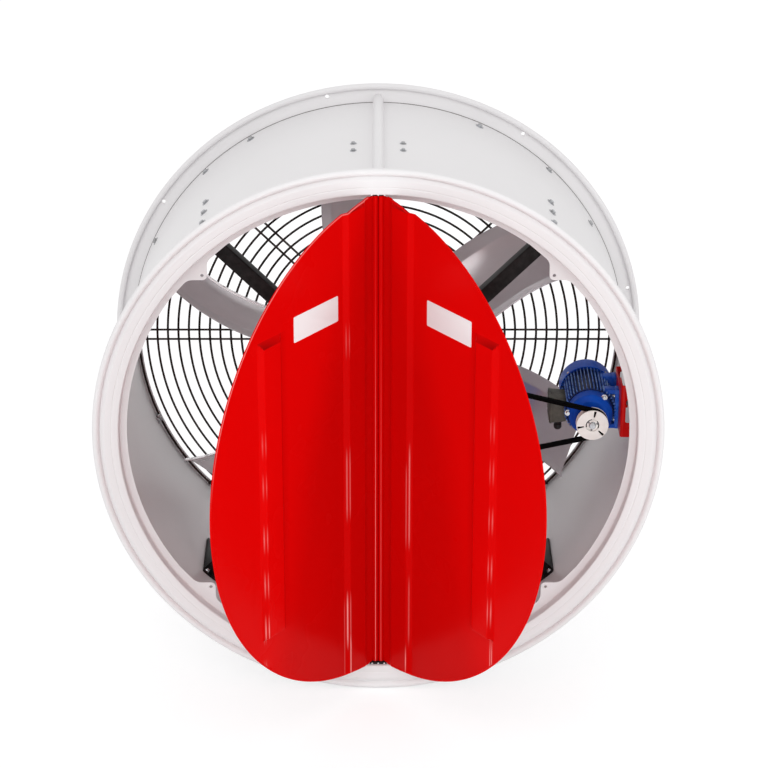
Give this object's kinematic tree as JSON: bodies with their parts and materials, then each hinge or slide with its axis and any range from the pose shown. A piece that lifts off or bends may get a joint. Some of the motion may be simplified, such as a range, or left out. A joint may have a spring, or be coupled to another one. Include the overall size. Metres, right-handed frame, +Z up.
{
  "type": "industrial exhaust fan",
  "caption": "Wall-mounted drum exhaust fan with belt drive, six-blade impeller, wire guard and a two-leaf butterfly shutter.",
  "frame": {"origin": "on the drum axis, in the plane of the rear flange's back face, which lies against the wall", "axes": "+Y along the drum axis from the outlet to the wall, +X to the right of a person who faces the outlet, +Z up"},
  "size_m": [1.549, 1.2758, 1.549],
  "materials": {
    "white_paint": "satin",
    "red_paint": "gloss",
    "blue_paint": "satin",
    "black_paint": "satin",
    "blade_steel": "polished",
    "plain_steel": "satin",
    "guard_wire": "bright",
    "cast_iron": "rough",
    "pulley_alloy": "satin",
    "belt_rubber": "matt",
    "box_grey": "matt",
    "black_plastic": "matt"
  },
  "bodies": {
    "frame": {"drum_shell_left": "white_paint", "drum_shell_right": "white_paint", "drum_seam_cover": "white_paint", "front_ring": "white_paint", "rear_flange": "white_paint", "hinge_rod_left": "plain_steel", "hinge_rod_right": "plain_steel", "hinge_block_top": "black_paint", "hinge_block_bottom": "black_paint", "brace_upper_right": "black_paint", "brace_upper_left": "black_paint", "brace_lower_right": "black_paint", "brace_lower_left": "black_paint", "bearing_plate": "black_paint", "bearing_housing": "cast_iron", "bearing_front": "plain_steel", "bearing_rear": "plain_steel", "v_belt": "belt_rubber", "motor_housing": "blue_paint", "motor_front_shield": "blue_paint", "motor_rear_shield": "blue_paint", "motor_cowl": "blue_paint", "terminal_box": "box_grey", "terminal_box_lid": "box_grey", "cable_gland": "black_plastic", "motor_bracket": "red_paint", "guard_rings": "guard_wire", "guard_spokes_1": "guard_wire", "guard_spokes_2": "guard_wire", "guard_spokes_3": "guard_wire", "guard_spokes_4": "guard_wire", "guard_spokes_5": "guard_wire", "guard_spokes_6": "guard_wire", "guard_spokes_7": "guard_wire", "guard_clip_1": "plain_steel", "guard_clip_2": "plain_steel", "guard_clip_3": "plain_steel", "guard_clip_4": "plain_steel", "guard_clip_5": "plain_steel", "guard_clip_6": "plain_steel", "guard_clip_7": "plain_steel", "guard_clip_8": "plain_steel"},
    "impeller": {"impeller_shaft": "plain_steel", "impeller_hub": "cast_iron", "blade_1": "blade_steel", "blade_2": "blade_steel", "blade_3": "blade_steel", "blade_4": "blade_steel", "blade_5": "blade_steel", "blade_6": "blade_steel", "fan_pulley": "cast_iron"},
    "motor_rotor": {"motor_shaft": "plain_steel", "motor_pulley": "pulley_alloy", "motor_cooling_fan": "black_plastic"},
    "shutter_left": {"shutter_left": "red_paint"},
    "shutter_right": {"shutter_right": "red_paint"}
  },
  "joints": [
    {"name": "impeller_spin", "type": "hinge", "parent": "frame", "child": "impeller", "pos_m": [0, -0.215, 0], "axis": [0, -1, 0], "continuous": true},
    {"name": "motor_spin", "type": "hinge", "parent": "frame", "child": "motor_rotor", "pos_m": [0.588, -0.47, -0.008], "axis": [0, -1, 0], "continuous": true},
    {"name": "shutter_left_hinge", "type": "hinge", "parent": "frame", "child": "shutter_left", "pos_m": [-0.0075, -0.725, 0], "axis": [0, 0, 1], "range_deg": [-53.3, 26.7]},
    {"name": "shutter_right_hinge", "type": "hinge", "parent": "frame", "child": "shutter_right", "pos_m": [0.0075, -0.725, 0], "axis": [0, 0, -1], "range_deg": [-53.3, 26.7]}
  ],
  "couplings": [
    {"joint": "motor_spin", "follows": "impeller_spin", "ratio": 4.3766}
  ]
}
